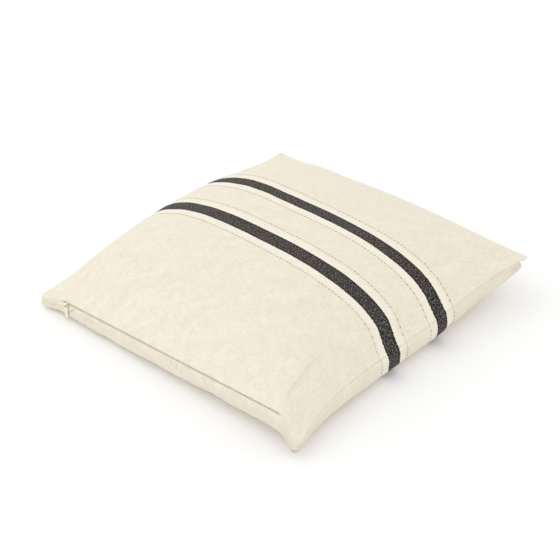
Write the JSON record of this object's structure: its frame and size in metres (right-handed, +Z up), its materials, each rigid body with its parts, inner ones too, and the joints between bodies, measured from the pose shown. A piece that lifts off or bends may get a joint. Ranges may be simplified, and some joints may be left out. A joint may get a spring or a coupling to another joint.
{
  "type": "throw pillow",
  "caption": "Square striped linen throw pillow with a concealed zip along one edge and a removable filled insert inside.",
  "frame": {"origin": "on the floor under the middle of the cushion's bounding box", "axes": "+Z up out of the striped front panel, X along the woven stripes and along the zip, the zip edge on the -Y side, its closed end towards -X"},
  "size_m": [0.4901, 0.4901, 0.115],
  "materials": {
    "cover_linen": "woven linen, cream, with two dark charcoal bands and rows of dark pick threads",
    "sewing_thread": "polyester thread, cream",
    "zip_tape": "woven tape, cream",
    "zip_coil": "moulded coil, cream",
    "zip_metal": "stamped metal, satin",
    "zip_slider": "cast metal lacquered cream",
    "label_tape": "blank woven satin tape, white",
    "insert_cotton": "plain cotton, white",
    "insert_thread": "cotton thread, white",
    "fibre_filling": "loose fibre, white"
  },
  "bodies": {
    "cushion": {"cover_front_panel": "cover_linen", "cover_back_panel": "cover_linen", "side_seam_thread": "sewing_thread", "zip_stitching_front": "sewing_thread", "zip_stitching_back": "sewing_thread", "zip_tape_front": "zip_tape", "zip_tape_back": "zip_tape", "zip_coil_front": "zip_coil", "zip_coil_back": "zip_coil", "zip_top_stop_front": "zip_metal", "zip_top_stop_back": "zip_metal", "zip_bottom_stop": "zip_metal", "care_label": "label_tape", "insert_casing_front": "insert_cotton", "insert_casing_back": "insert_cotton", "insert_seam_thread": "insert_thread", "insert_label": "label_tape", "insert_filling": "fibre_filling"},
    "slider": {"zip_slider": "zip_slider"},
    "pull": {"zip_pull": "zip_slider"}
  },
  "joints": [
    {"name": "zip_slide", "type": "slide", "parent": "cushion", "child": "slider", "axis": [0.9983, 0, 0.0576], "range_m": [0, 0.386]},
    {"name": "zip_pull_hinge", "type": "hinge", "parent": "slider", "child": "pull", "pos_m": [-0.19468, -0.2375, 0.02627], "axis": [-0.9983, 0, -0.0576], "range_deg": [0, 165]}
  ]
}
